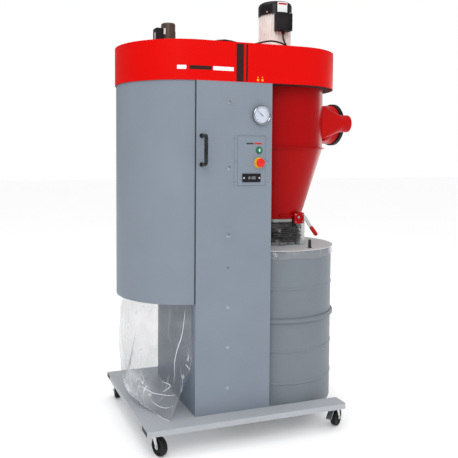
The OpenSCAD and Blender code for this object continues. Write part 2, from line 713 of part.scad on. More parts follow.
module cyclone_bolts() color([0.78, 0.79, 0.80]) {
    translate([axis_x, axis_y, 0]) flange_bolts() translate([0, 0, joint_z]) {
        translate([0, 0, -7]) cylinder(r = bolt_r, h = 14, $fn = 24);
        translate([0, 0, 3]) cylinder(r = 4, h = 4, $fn = 6);
        translate([0, 0, -7]) cylinder(r = 4, h = 4, $fn = 6);
    }
    for (x = [bracket_x + 7, bracket_x + bracket_w - 7], z = [bracket_z + 8, bracket_z + bracket_h - 8])
        along_y([x, z], 2.6, lever_y - 7.6, lever_y - 6);
    // pivot bolt of the lever
    along_y(pivot, 5, lever_y - 6, lever_y + 9);
    along_y(pivot, 5.6, lever_y - 8, lever_y - 6);
}

module fasteners() {
    front_screws();
    cyclone_bolts();
}

module inlet_duct() color([0.72, 0.04, 0.05]) difference() {
    union() {
        translate([axis_x, duct_y0, inlet_z - duct_h / 2])
            cube([duct_x1 - axis_x, duct_y1 - duct_y0, duct_h]);
        duct_transition(seam);
        along_x([inlet_y, inlet_z], inlet_r, spigot_x - 0.5, half_w - 4);
    }
    translate([axis_x, axis_y, inlet_z - duct_h]) cylinder(r = barrel_r + eps, h = 2 * duct_h);
    translate([axis_x - cut, -60, inlet_z - duct_h]) cube([31, 300, 2 * duct_h]);
    translate([axis_x, duct_y0 + wall, inlet_z - duct_h / 2 + wall])
        cube([duct_x1 - axis_x + seam, duct_y1 - duct_y0 - 2 * wall, duct_h - 2 * wall]);
    duct_transition(seam + wall);
    along_x([inlet_y, inlet_z], inlet_r - wall, spigot_x - 1, half_w);
}

// Rectangle-to-round length of the main duct, inset all round
module duct_transition(inset) hull() {
    translate([duct_x1 - 1, duct_y0 + inset, inlet_z - duct_h / 2 + inset])
        cube([1, duct_y1 - duct_y0 - 2 * inset, duct_h - 2 * inset]);
    along_x([inlet_y, inlet_z], inlet_r - inset, spigot_x - 1, spigot_x, $fn = 48);
}

module inlet_ring() color([0.05, 0.05, 0.05])
    translate([half_w - 20, inlet_y, inlet_z]) rotate([0, 90, 0])
        turned([[inlet_r, 0], [inlet_r + 6, 0], [inlet_r + 7, 2], [inlet_r + 7, 18],
                [inlet_r + 5, 20], [inlet_r - 2, 20], [inlet_r - 2, 16.1], [inlet_r, 16.1]]);

module inlet_branch() color([0.72, 0.04, 0.05]) difference() {
    union() {
        branch_transition(seam);
        along_x([branch_y, branch_z], branch_r, branch_x - 0.5, branch_x + branch_len);
    }
    translate([axis_x, axis_y, branch_z - 150]) cylinder(r = barrel_r + eps, h = 300);
    branch_transition(seam + wall);
    along_x([branch_y, branch_z], branch_r - wall, branch_x - 1, branch_x + branch_len + cut);
}

// Rectangle-to-round cone of the small inlet, inset all round
module branch_transition(inset) hull() {
    translate([axis_x + 150, branch_y - 55 + inset, branch_z - 73.5 + inset])
        cube([30, 110 - 2 * inset, 147 - 2 * inset]);
    along_x([branch_y, branch_z], branch_r - inset, branch_x - 1, branch_x, $fn = 48);
}

// ---------- lid lift ----------

module lever_bracket() color([0.70, 0.04, 0.05]) difference() {
    union() {
        translate([bracket_x, lever_y - 6, bracket_z]) cube([bracket_w, 2.4, bracket_h]);
        translate([bracket_x, lever_y + 5.5, bracket_z]) cube([bracket_w, 3, bracket_h]);
        translate([bracket_x, lever_y - 6, bracket_z]) cube([3, 14.5, bracket_h]);
        // ribs that are welded to the outlet collar
        translate([bracket_x, lever_y + 5, 888]) cube([3, 30, 16]);
        translate([bracket_x + bracket_w - 6, lever_y + 5, 888]) cube([3, 40, 16]);
        // folded wing along the cone's foot
        translate([bracket_x - 72, lever_y - 6, collar_z1 - 8]) cube([74, 34, 2.4]);
    }
    translate([axis_x, axis_y, 840]) cylinder(r = cuff_r + 10, h = 28);
    translate([axis_x, axis_y, 850]) cylinder(r = outlet_r, h = 60);
    translate([axis_x, axis_y, 840]) cylinder(r = cuff_r + cuff_t + 2.5, h = 47);
    translate([axis_x, axis_y, collar_z1]) cylinder(r1 = outlet_r, r2 = outlet_r + 10, h = 34);
    along_y(pivot, 5, lever_y - 20, lever_y + 20);
}

module lever_arm() color([0.75, 0.76, 0.77]) difference() {
    union() {
        translate([0, lever_y + lever_t, 0]) rotate([90, 0, 0]) linear_extrude(lever_t) {
            hull() {
                translate(pivot) circle(r = 11, $fn = 32);
                translate(elbow) circle(r = 7, $fn = 32);
            }
            hull() {
                translate(pivot) circle(r = 9, $fn = 32);
                translate(link_pin) circle(r = 8, $fn = 32);
            }
            hull() {
                translate(elbow) circle(r = 7, $fn = 32);
                translate(grip_start) circle(r = 6.5, $fn = 32);
            }
        }
        grip_line() cylinder(r = 2.4, h = 44);
        // riveted pin that carries the link
        along_y(link_pin, pin_r, lever_y - 3.2, lever_y + 1);
    }
    along_y(pivot, 5 + eps, lever_y - 20, lever_y + 20);
}

// Frame whose Z runs down the handle from the end of the lever's bar
module grip_line() {
    d = grip_end - grip_start;
    translate([grip_start[0], lever_y + lever_t / 2, grip_start[1]])
        rotate([0, 90 + atan2(-d[1], d[0]), 0]) children();
}

module lever_grip() color([0.75, 0.05, 0.05]) difference() {
    len = norm(grip_end - grip_start);
    grip_line() turned([[0, 7], [7, 7], [8.5, 9], [9, 14], [9.6, len - 6], [8.4, len],
                        [5, len + 3.5], [0, len + 5]]);
    grip_line() cylinder(r = 2.4, h = 44);
}

module lift_link() color([0.72, 0.74, 0.76])
    translate([0, lever_y - 0.4, 0]) rotate([90, 0, 0]) linear_extrude(2.4) difference() {
        union() {
            translate([link_pin[0] - 8, lug_z - 2]) square([16, link_pin[1] - lug_z + 2]);
            translate(link_pin) circle(r = 8);
            translate([link_pin[0] - 14, lug_z - 10]) square([24, 20]);
        }
        translate(link_pin) circle(r = pin_r + eps);
        // long slot: the open pivot of the linkage
        translate([link_pin[0] - 10.4, lug_z - pin_r - 0.8]) square([15.4, 2 * pin_r + 1.6]);
    }

module outlet_bellows() color([0.30, 0.31, 0.32]) translate([axis_x, axis_y, 0]) {
    z0 = lid_top + 2;
    z1 = collar_z0 + 22;
    r = cuff_r;
    turned([[r, z0], [r + cuff_t, z0], [r + cuff_t, z0 + 18], [r + 12, z0 + 30],
            [r + 3, z0 + 43], [r + 13, z0 + 58], [r + 3, z0 + 72], [r + 11, z0 + 84],
            [r + cuff_t, z1 - 18], [r + cuff_t, z1], [r, z1], [r, z1 - 19],
            [r + 8, z0 + 84], [r, z0 + 72], [r + 10, z0 + 58], [r, z0 + 43],
            [r + 9, z0 + 30], [r, z0 + 19]]);
}

module hose_clamp(z, turn) {
    r = cuff_r + cuff_t + 0.2;
    translate([axis_x, axis_y, z]) {
        ring(r + 1, r, 0, 11);
        rotate([0, 0, turn]) translate([r + 0.5, -11, -1]) cube([7, 22, 13]);
    }
}

module outlet_clamp() color([0.78, 0.79, 0.80]) hose_clamp(collar_z0 + 9, -112);

module lid_clamp() color([0.78, 0.79, 0.80]) hose_clamp(lid_top + 4, -100);

module drum_lid() color([0.88, 0.88, 0.88]) {
    difference() {
        translate([drum_x, drum_y, 0])
            turned([[0, lid_z0], [lid_r - 2, lid_z0], [lid_r, lid_z0 + 1.5],
                    [lid_r - 1, lid_top], [lid_r - 7, lid_top], [0, lid_top]]);
        translate([axis_x, axis_y, lid_z0 - cut]) cylinder(r = guide_r + 0.6, h = 20);
    }
    translate([axis_x, axis_y, 0]) ring(outlet_r, guide_r + 0.6, lid_top - 1, lid_top + 28);
    // lug with the pin that the link lifts
    translate([link_pin[0] - 10, lever_y + 0.4, lid_top - 1]) cube([22, 3, lug_z + 11 - lid_top]);
    along_y([link_pin[0], lug_z], pin_r, lever_y - 4, lever_y + 1);
}

module lid_sensor() color([0.16, 0.16, 0.17]) translate([234, -215, lid_top])
    turned([[0, 0], [9, 0], [9, 3], [6.5, 4], [6.5, 34], [5, 36], [0, 36]]);

// ---------- drum ----------

function bead(z) = [[drum_r, z - 6], [drum_r + 2.5, z - 2], [drum_r + 2.5, z + 2], [drum_r, z + 6]];

module drum_body() color([0.52, 0.57, 0.62]) translate([drum_x, drum_y, 0]) {
    turned(concat(
        [[0, drum_bottom], [drum_r - 3, drum_bottom], [drum_r, drum_bottom + 3]],
        bead(196), bead(334), bead(599),
        [[drum_r, drum_top - 6], [drum_r + 2.5, drum_top - 4], [drum_r + 2.5, drum_top - 1],
         [drum_r + 1, drum_top], [drum_r - 1.2, drum_top], [drum_r - 1.2, drum_bottom + 1.5],
         [0, drum_bottom + 1.5]]));
    for (x = [-141, 141], y = [-141, 141]) translate([x, y, 0]) {
        translate([-26, -22, drum_bottom - 3]) cube([52, 44, 3.5]);
        for (side = [-1, 1]) difference() {
            translate([-14, side * 17.5 - 1.5, 20]) cube([28, 3, drum_bottom - 21]);
            along_y([0, 30], pin_r + eps, side * 17.5 - 3, side * 17.5 + 3);
        }
    }
}

module drum_wheels(x) color([0.12, 0.12, 0.12]) translate([drum_x + x, drum_y, 30]) {
    rotate([90, 0, 0]) cylinder(r = pin_r, h = 326, center = true);
    for (y = [-141, 141]) translate([0, y, 0]) rotate([90, 0, 0])
        turned([[0, -14], [9, -14], [9, -12], [26, -12], [29, -10], [30, -7], [30, 7],
                [29, 10], [26, 12], [9, 12], [9, 14], [0, 14]]);
}

module drum_hoop() color([0.55, 0.58, 0.62]) translate([drum_x, drum_y, 0])
    turned([[drum_r + 0.1, 455], [drum_r + 5, 455], [drum_r + 10, 459], [drum_r + 11, 465],
            [drum_r + 10, 471], [drum_r + 5, 475], [drum_r + 0.1, 475]]);

module drum_liner() color([0.9, 0.9, 0.9, 0.5]) translate([drum_x, drum_y, 0])
    turned([[drum_r + 3, drum_top - 1], [drum_r + 4.2, drum_top - 1], [drum_r + 8, drum_top - 30],
            [drum_r + 6.8, drum_top - 30]]);

// ---------- every node ----------

base_deck();
caster_plates();
fork(0);  // fork_front_left
fork(1);  // fork_front_right
fork(2);  // fork_rear_left
fork(3);  // fork_rear_right
wheel(0);  // wheel_front_left
wheel(1);  // wheel_front_right
wheel(2);  // wheel_rear_left
wheel(3);  // wheel_rear_right
brake_pedal();
column_frame();
column_front();
fasteners();
push_handle();
control_panel();
start_button();
stop_collar();
stop_button();
hour_meter();
gauge_case();
gauge_needle();
gauge_lens();
hood_shell();
hood_floor();
fan_scroll();
fan_impeller();
motor_shaft();
motor_body();
motor_cowl();
motor_box();
motor_cables();
filter_housing();
filter_floor();
bag_clamp();
dust_bag();
filter_cartridge();
paddle_shaft();
shaker_motor();
shaker_box();
cyclone_barrel();
vortex_tube();
cyclone_cone();
inlet_duct();
inlet_ring();
inlet_branch();
lever_bracket();
lever_arm();
lever_grip();
lift_link();
outlet_bellows();
outlet_clamp();
lid_clamp();
drum_lid();
lid_sensor();
drum_body();
drum_hoop();
drum_liner();
drum_wheels(-141);  // drum_wheels_left
drum_wheels(141);  // drum_wheels_right
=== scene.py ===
import math

import bmesh
import bpy
from mathutils import Matrix, Vector, noise


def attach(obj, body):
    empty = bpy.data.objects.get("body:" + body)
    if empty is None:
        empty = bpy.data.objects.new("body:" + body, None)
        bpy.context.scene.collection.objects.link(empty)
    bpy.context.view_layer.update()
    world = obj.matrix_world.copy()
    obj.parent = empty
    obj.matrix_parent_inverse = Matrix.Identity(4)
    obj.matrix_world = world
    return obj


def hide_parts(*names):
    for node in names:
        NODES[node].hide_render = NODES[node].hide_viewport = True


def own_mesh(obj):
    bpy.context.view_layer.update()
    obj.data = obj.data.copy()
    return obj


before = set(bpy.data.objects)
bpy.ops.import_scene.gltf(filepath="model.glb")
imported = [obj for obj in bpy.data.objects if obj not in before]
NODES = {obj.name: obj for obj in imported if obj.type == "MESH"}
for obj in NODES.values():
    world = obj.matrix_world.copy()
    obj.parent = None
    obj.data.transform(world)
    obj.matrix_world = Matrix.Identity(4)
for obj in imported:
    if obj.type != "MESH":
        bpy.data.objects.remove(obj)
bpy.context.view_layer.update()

MM = 0.001


# ---------- camera ----------

CAMERA_PLACE = (-1.159, -2.542, 1.146)
CAMERA_YAW, CAMERA_PITCH, CAMERA_ROLL = 19.22, 2.76, 0.2    # degrees right of +Y, down, and tilted
CAMERA_LENS = 48.42
CAMERA_SHIFT = (0.10, -0.0878)


def make_camera():
    """Eye-level view from the front left, a little to the side of the control panel."""
    data = bpy.data.cameras.new("camera")
    data.lens = CAMERA_LENS
    data.sensor_width = 36.0
    data.shift_x, data.shift_y = CAMERA_SHIFT
    camera = bpy.data.objects.new("camera", data)
    bpy.context.scene.collection.objects.link(camera)
    camera.location = CAMERA_PLACE
    yaw, pitch, roll = (math.radians(angle) for angle in (CAMERA_YAW, CAMERA_PITCH, CAMERA_ROLL))
    ahead = Vector((math.sin(yaw) * math.cos(pitch), math.cos(yaw) * math.cos(pitch), -math.sin(pitch)))
    tilt = Matrix.Rotation(roll, 3, "Z").to_quaternion()
    camera.rotation_mode = "QUATERNION"
    camera.rotation_quaternion = ahead.to_track_quat("-Z", "Y") @ tilt
    bpy.context.scene.camera = camera


# ---------- materials ----------

def math_node(tree, how, a, b, clamp=False):
    """Adds a Math node; a and b are numbers or the outputs of other nodes."""
    node = tree.nodes.new("ShaderNodeMath")
    node.operation = how
    node.use_clamp = clamp
    for socket, value in zip(node.inputs, (a, b)):
        if isinstance(value, (int, float)):
            socket.default_value = value
        else:
            tree.links.new(value, socket)
    return node.outputs["Value"]


class Material:
    """A Principled material whose nodes are added one by one."""

    def __init__(self, name, **values):
        self.data = bpy.data.materials.new(name)
        self.data.use_nodes = True
        self.nodes = self.data.node_tree.nodes
        self.links = self.data.node_tree.links
        self.shader = self.nodes["Principled BSDF"]
        for key, value in values.items():
            self.shader.inputs[key.replace("_", " ")].default_value = value
        self.place = self.nodes.new("ShaderNodeTexCoord").outputs["Object"]

    def scaled(self, size):
        """Object coordinates stretched by size along each axis."""
        node = self.nodes.new("ShaderNodeMapping")
        node.inputs["Scale"].default_value = size
        self.links.new(self.place, node.inputs["Vector"])
        return node.outputs["Vector"]

    def noise(self, scale, detail=3.0, rough=0.5, at=None, distortion=0.0):
        node = self.nodes.new("ShaderNodeTexNoise")
        node.inputs["Scale"].default_value = scale
        node.inputs["Detail"].default_value = detail
        node.inputs["Roughness"].default_value = rough
        node.inputs["Distortion"].default_value = distortion
        self.links.new(at or self.place, node.inputs["Vector"])
        return node.outputs["Fac"]

    def remap(self, source, low, high, to_low, to_high):
        """Moves the range low..high to to_low..to_high, and holds its ends."""
        node = self.nodes.new("ShaderNodeMapRange")
        node.inputs["From Min"].default_value = low
        node.inputs["From Max"].default_value = high
        node.inputs["To Min"].default_value = to_low
        node.inputs["To Max"].default_value = to_high
        self.links.new(source, node.inputs["Value"])
        return node.outputs["Result"]

    def maths(self, a, b, how="ADD"):
        return math_node(self.data.node_tree, how, a, b)

    def ramp(self, source, stops):
        """Colours a value: stops hold (place, colour)."""
        node = self.nodes.new("ShaderNodeValToRGB")
        ramp = node.color_ramp
        while len(ramp.elements) < len(stops):
            ramp.elements.new(0.5)
        for element, (place, colour) in zip(ramp.elements, stops):
            element.position = place
            element.color = (*colour, 1.0)
        self.links.new(source, node.inputs["Fac"])
        return node.outputs["Color"]

    def bump(self, source, strength, distance, base=None):
        node = self.nodes.new("ShaderNodeBump")
        node.inputs["Strength"].default_value = strength
        node.inputs["Distance"].default_value = distance
        self.links.new(source, node.inputs["Height"])
        if base is not None:
            self.links.new(base, node.inputs["Normal"])
        return node.outputs["Normal"]

    def into(self, output, socket):
        self.links.new(output, self.shader.inputs[socket])


def shade(colour, factor):
    """The colour made lighter or darker."""
    return tuple(min(1.0, c * factor) for c in colour)


def powder_coat(name, colour, roughness=0.42, gloss=0.16, peel=0.12, dirt=0.05):
    """Baked paint: fine orange peel, cloudy gloss and a faint drift of colour."""
    m = Material(name, Specular_IOR_Level=gloss, IOR=1.5)
    clouds = m.noise(3.5, 4.0, 0.6)
    specks = m.noise(420.0, 2.0, 0.6)
    drift = m.maths(clouds, m.maths(specks, 0.18, "MULTIPLY"))
    m.into(m.ramp(drift, [(0.35, shade(colour, 1 - dirt)), (0.55, colour), (0.8, shade(colour, 1 + dirt))]),
           "Base Color")
    m.into(m.remap(clouds, 0.3, 0.7, roughness - 0.05, roughness + 0.06), "Roughness")
    grain = m.bump(m.noise(900.0, 2.0, 0.5), peel, 0.0004)
    m.into(m.bump(m.noise(7.0, 2.0, 0.5), 0.05, 0.004, grain), "Normal")
    return m.data


def bare_metal(name, colour, roughness=0.3, streak=(8, 8, 260), metallic=1.0):
    """Plated or brushed steel with fine streaks and dull patches."""
    m = Material(name, Metallic=metallic)
    patches = m.noise(26.0, 4.0, 0.65)
    lines = m.noise(6.0, 3.0, 0.6, at=m.scaled(streak))
    m.into(m.ramp(m.maths(patches, m.maths(lines, 0.5, "MULTIPLY")),
                  [(0.45, shade(colour, 0.72)), (0.75, colour), (1.0, shade(colour, 1.12))]), "Base Color")
    m.into(m.remap(patches, 0.3, 0.75, roughness - 0.08, roughness + 0.14), "Roughness")
    m.into(m.bump(lines, 0.08, 0.0004), "Normal")
    return m.data


def moulded(name, colour, roughness=0.45, grain=0.15, scale=700.0, gloss=0.2, dust=(0.3, 0.3, 0.3)):
    """Moulded plastic or rubber with a fine texture and a trace of dust."""
    m = Material(name, Specular_IOR_Level=gloss, IOR=1.48)
    cloud = m.noise(18.0, 5.0, 0.7)
    mixed = tuple(c * 0.97 + d * 0.03 for c, d in zip(colour, dust))
    m.into(m.ramp(cloud, [(0.4, colour), (0.62, mixed), (0.9, shade(colour, 1.15))]), "Base Color")
    m.into(m.remap(cloud, 0.3, 0.75, roughness - 0.06, roughness + 0.1), "Roughness")
    m.into(m.bump(m.noise(scale, 2.0, 0.6), grain, 0.0005), "Normal")
    return m.data


def clear_film(name, tint, thin, milk, lines=7.0, low_z=0.0):
    """Thin clear plastic film: nearly invisible where flat, with painted white highlights along creases, hazy
    seen edge-on.

    thin and milk are how opaque it is where flat and where creased, and lines is the scale of the
    creases. From low_z down, in metres, the film lies in a hazier heap.
    """
    m = Material(name, IOR=1.45, Roughness=0.10)

    def crease(scale, width, tallness):
        """Thin lines where a smooth noise crosses its middle value."""
        wander = m.noise(scale, 2.5, 0.5, at=m.scaled((1.0, 1.0, tallness)), distortion=1.6)
        off = m.maths(m.maths(wander, 0.5, "SUBTRACT"), 0.0, "ABSOLUTE")
        return m.remap(off, 0.0, width, 1.0, 0.0)

    patches = m.remap(m.noise(lines * 0.9, 2.0, 0.5), 0.46, 0.62, 0.0, 1.0)
    long_lines = m.maths(crease(lines, 0.010, 0.42), patches, "MULTIPLY")
    faint_patches = m.remap(m.noise(lines, 2.0), 0.5, 0.66, 0.0, 0.6)
    short_lines = m.maths(crease(lines * 2.6, 0.012, 0.9), faint_patches, "MULTIPLY")
    haze = m.remap(m.noise(lines * 0.5, 2.0, 0.5, distortion=1.2), 0.42, 0.75, 0.0, 0.34)
    marks = m.maths(m.maths(long_lines, short_lines, "MAXIMUM"), haze, "MAXIMUM")
    if low_z:
        split = m.nodes.new("ShaderNodeSeparateXYZ")
        m.links.new(m.place, split.inputs["Vector"])
        low = m.remap(split.outputs["Z"], low_z, low_z + 0.16, 1.0, 0.6)
        marks = m.maths(marks, low, "MULTIPLY")
        heap = m.remap(split.outputs["Z"], low_z, low_z + 0.12, 0.34, 0.0)
        veil = m.maths(heap, m.noise(lines * 0.8, 2.0, 0.5), "MULTIPLY")
        marks = m.maths(marks, veil)
    facing = m.nodes.new("ShaderNodeLayerWeight")
    facing.inputs["Blend"].default_value = 0.22
    edge = m.maths(facing.outputs["Facing"], 0.16, "MULTIPLY")
    m.into(m.remap(m.maths(marks, edge), 0.0, 1.0, thin, milk), "Alpha")
    # Painted highlight: the crease lines turn the film's colour white; the haze whitens it as milky film.
    m.into(m.ramp(marks, [(0.0, tint), (0.10, tint), (0.45, (0.93, 0.95, 0.98))]), "Base Color")
    broad = m.noise(lines * 0.9, 1.0, 0.4, distortion=1.0, at=m.scaled((1.0, 1.0, 0.45)))
    m.into(m.bump(m.maths(broad, m.maths(marks, 0.06, "MULTIPLY")), 0.5, 0.02), "Normal")
    return m.data


def use(material, *nodes):
    """Gives CAD nodes or pieces one material."""
    for item in nodes:
        target = NODES[item] if isinstance(item, str) else item
        target.data.materials.clear()
        target.data.materials.append(material)


# ---------- mesh helpers ----------

def new_piece(name, build, material, body, smooth=40):
    """Adds a piece of the object: build(bm) makes its faces, and edges over smooth degrees stay sharp."""
    mesh = mesh_from(build, name)
    piece = bpy.data.objects.new(name, mesh)
    bpy.context.scene.collection.objects.link(piece)
    mesh.materials.append(material)
    mesh.validate()
    for face in mesh.polygons:
        face.use_smooth = True
    if smooth < 180:
        mesh.set_sharp_from_angle(angle=math.radians(smooth))
    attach(piece, body)
    return piece


def mesh_from(build, name):
    """Runs build(bm) on a fresh bmesh and returns the mesh, its normals pointing out."""
    bm = bmesh.new()
    build(bm)
    bmesh.ops.recalc_face_normals(bm, faces=bm.faces)
    mesh = bpy.data.meshes.new(name)
    bm.to_mesh(mesh)
    bm.free()
    return mesh


def loft(bm, rings, caps=(False, False)):
    """Joins rings of points with quads, and closes the first and the last one where caps says so."""
    rows = [[bm.verts.new(p) for p in ring] for ring in rings]
    count = len(rows[0])
    for low, high in zip(rows, rows[1:]):
        for k in range(count):
            n = (k + 1) % count
            bm.faces.new((low[k], low[n], high[n], high[k]))
    for want, row in zip(caps, (rows[0], rows[-1])):
        if want:
            bm.faces.new(row)


def turned_ring(bm, centre, axis, profile, sides=64):
    """Closed body of revolution: profile holds (radius, distance along axis)."""
    across, up, ahead = axis_frame(axis)
    rows = []
    for a in turns(sides):
        out = across * math.cos(a) + up * math.sin(a)
        rows.append([bm.verts.new(Vector(centre) + out * r + ahead * h) for r, h in profile])
    count = len(profile)
    for i in range(sides):
        a, b = rows[i], rows[(i + 1) % sides]
        for k in range(count):
            n = (k + 1) % count
            bm.faces.new((a[k], b[k], b[n], a[n]))


def turns(sides):
    """Directions evenly round a circle, in radians."""
    return [2 * math.pi * k / sides for k in range(sides)]


def axis_frame(axis):
    """Two sides and the direction of an axis."""
    z = Vector(axis).normalized()
    x = z.cross(Vector((0.3, 0.2, 1.0))).normalized()
    return x, z.cross(x), z


def tube(bm, points, radius, sides):
    """Round tube along points, with closed ends. radius may be a function of the share of its length."""
    rings = []
    side = None
    for i, p in enumerate(points):
        ahead = (points[min(i + 1, len(points) - 1)] - points[max(i - 1, 0)]).normalized()
        if side is None:
            side = ahead.cross(Vector((0.3, 1.0, 0.2))).normalized()
        side = (side - ahead * side.dot(ahead)).normalized()
        up = ahead.cross(side)
        r = radius(i / (len(points) - 1)) if callable(radius) else radius
        rings.append([p + (side * math.cos(a) + up * math.sin(a)) * r for a in turns(sides)])
    loft(bm, rings, caps=(True, True))


def smooth_route(points, steps):
    """Catmull-Rom curve through the given points, with steps points from each to the next."""
    route = []
    for i in range(len(points) - 1):
        a, b, c, d = (points[max(i - 1, 0)], points[i], points[i + 1], points[min(i + 2, len(points) - 1)])
        for k in range(steps):
            t = k / steps
            route.append(0.5 * (2 * b + (c - a) * t + (2 * a - 5 * b + 4 * c - d) * t * t
                                + (3 * b - a - 3 * c + d) * t ** 3))
    route.append(points[-1])
    return route


def slab(bm, low, high, bevel=0.0):
    """Box with softened edges."""
    low, high = Vector(low), Vector(high)
    made = bmesh.ops.create_cube(bm, size=1.0)
    for v in made["verts"]:
        v.co = low + Vector([(c + 0.5) * s for c, s in zip(v.co, high - low)])
    if bevel:
        edges = {e for v in made["verts"] for e in v.link_edges}
        bmesh.ops.bevel(bm, geom=list(edges), offset=bevel, segments=2, affect="EDGES", profile=0.6)


# ---------- floor and light ----------

def make_stage():
    floor_mat = Material("pale_floor", Roughness=0.6, Specular_IOR_Level=0.1,
                         Emission_Color=(1.0, 1.0, 1.0, 1.0), Emission_Strength=0.14)
    floor_mat.into(floor_mat.ramp(floor_mat.noise(0.8, 3.0, 0.5),
                                  [(0.3, (0.95, 0.95, 0.95)), (0.7, (0.97, 0.97, 0.97))]), "Base Color")
    bpy.ops.mesh.primitive_plane_add(size=60, location=(0, 0, 0))
    floor = bpy.context.object
    floor.name = "floor"
    floor.data.materials.append(floor_mat.data)

    world = bpy.data.worlds.new("studio")
    world.use_nodes = True
    studio_walls(world.node_tree)
    bpy.context.scene.world = world
    soft_light("key_light", (-1.3, -2.5, 2.9), (-0.1, 0, 1.2), 1.3, 22)
    soft_light("top_light", (-0.6, 0.2, 4.2), (-0.2, 0, 0.5), 2.6, 36)
    soft_light("side_light", (3.4, 1.6, 1.2), (0.3, 0, 0.6), 1.6, 16)
    bpy.context.scene.view_settings.view_transform = "Standard"


def studio_walls(tree):
    """White sweep all round. Its mirror image is dimmer, so paint keeps its colour, and as a
    light it is strongest from the front and above, so that round shapes darken to their sides."""
    mirror_dimming = 0.65
    from_front, from_above, from_anywhere = 0.70, 0.60, 0.36

    def maths(how, a, b, clamp=False):
        return math_node(tree, how, a, b, clamp)

    aim = tree.nodes.new("ShaderNodeSeparateXYZ")
    tree.links.new(tree.nodes.new("ShaderNodeTexCoord").outputs["Generated"], aim.inputs[0])
    front = maths("MULTIPLY", maths("MULTIPLY", aim.outputs["Y"], -1.0, True), from_front)
    above = maths("MULTIPLY", maths("MULTIPLY", aim.outputs["Z"], 1.0, True), from_above)
    as_light = maths("ADD", maths("ADD", front, above), from_anywhere)
    path = tree.nodes.new("ShaderNodeLightPath")
    diffuse = path.outputs["Is Diffuse Ray"]
    strength = maths("ADD", maths("MULTIPLY", diffuse, as_light), maths("SUBTRACT", 1.0, diffuse))
    dimming = maths("MULTIPLY", path.outputs["Is Glossy Ray"], mirror_dimming)
    strength = maths("MULTIPLY", strength, maths("SUBTRACT", 1.0, dimming))
    sweep = tree.nodes["Background"]
    sweep.inputs["Color"].default_value = (1.0, 1.0, 1.0, 1.0)
    tree.links.new(strength, sweep.inputs["Strength"])


def soft_light(name, place, target, size, power):
    """Square area light at place, in metres, that faces target."""
    data = bpy.data.lights.new(name, "AREA")
    data.shape = "SQUARE"
    data.size = size
    data.energy = power
    light = bpy.data.objects.new(name, data)
    bpy.context.scene.collection.objects.link(light)
    light.location = place
    light.rotation_mode = "QUATERNION"
    light.rotation_quaternion = (Vector(target) - Vector(place)).to_track_quat("-Z", "Y")


# ---------- finishes of the CAD nodes ----------

BLACK = (0.007, 0.007, 0.008)
CORNERS = ("front_left", "front_right", "rear_left", "rear_right")


def paint_sheet_metal():
    use(powder_coat("grey_powder_coat", (0.205, 0.240, 0.285)),
        "column_front", "filter_housing", "filter_floor", "control_panel")
    use(powder_coat("drum_grey_powder_coat", (0.175, 0.200, 0.228)), "drum_body", "drum_hoop")
    # Partly painted light: the deck is a lighter grey, partly its own paint and partly raised for the light
    # on its top.
    use(powder_coat("deck_grey_with_painted_light", (0.40, 0.42, 0.45)), "base_deck")
    # Painted shadow: the hood's underside is near black for the shade beneath the hood, not for its own
    # paint.
    use(powder_coat("hood_underside_painted_shadow", (0.030, 0.022, 0.024), 0.5, 0.1), "hood_floor")
    use(powder_coat("dark_grey_powder_coat", (0.180, 0.218, 0.275), 0.38), "column_frame", "fan_scroll")
    use(powder_coat("bright_red_powder_coat", (0.64, 0.002, 0.001), 0.40, 0.06, 0.08, 0.03), "hood_shell")
    use(powder_coat("deep_red_powder_coat", (0.35, 0.001, 0.002), 0.30, 0.09, 0.08, 0.05),
        "cyclone_barrel", "cyclone_cone", "lever_bracket", "vortex_tube")
    use(powder_coat("inlet_red_powder_coat", (0.46, 0.003, 0.003), 0.32, 0.10, 0.08, 0.05),
        "inlet_duct", "inlet_branch")
    use(powder_coat("pale_lid_paint", (0.52, 0.53, 0.54), 0.38, 0.2, 0.08), "drum_lid")


def finish_metal_parts():
    forks = ["fork_" + corner for corner in CORNERS]
    use(bare_metal("zinc_plate", (0.62, 0.66, 0.64), 0.34), "caster_plates", *forks,
        "bag_clamp", "lever_arm", "lift_link")
    use(bare_metal("screw_zinc", (0.40, 0.43, 0.46), 0.34), "fasteners")
    use(bare_metal("clamp_steel", (0.30, 0.31, 0.31), 0.22, (8, 8, 900)), "outlet_clamp", "lid_clamp")
    use(bare_metal("dull_pedal_steel", (0.20, 0.21, 0.21), 0.45), "brake_pedal")
    use(bare_metal("turned_steel", (0.55, 0.56, 0.57), 0.3), "fan_impeller", "motor_shaft", "paddle_shaft")
    use(bare_metal("gauge_chrome", (0.42, 0.43, 0.45), 0.16, (40, 40, 40)), "gauge_case")
    use(bare_metal("shaker_paint", (0.085, 0.066, 0.048), 0.42, (10, 10, 60), 0.3), "shaker_motor")
    use(cast_ribs(), "motor_body")


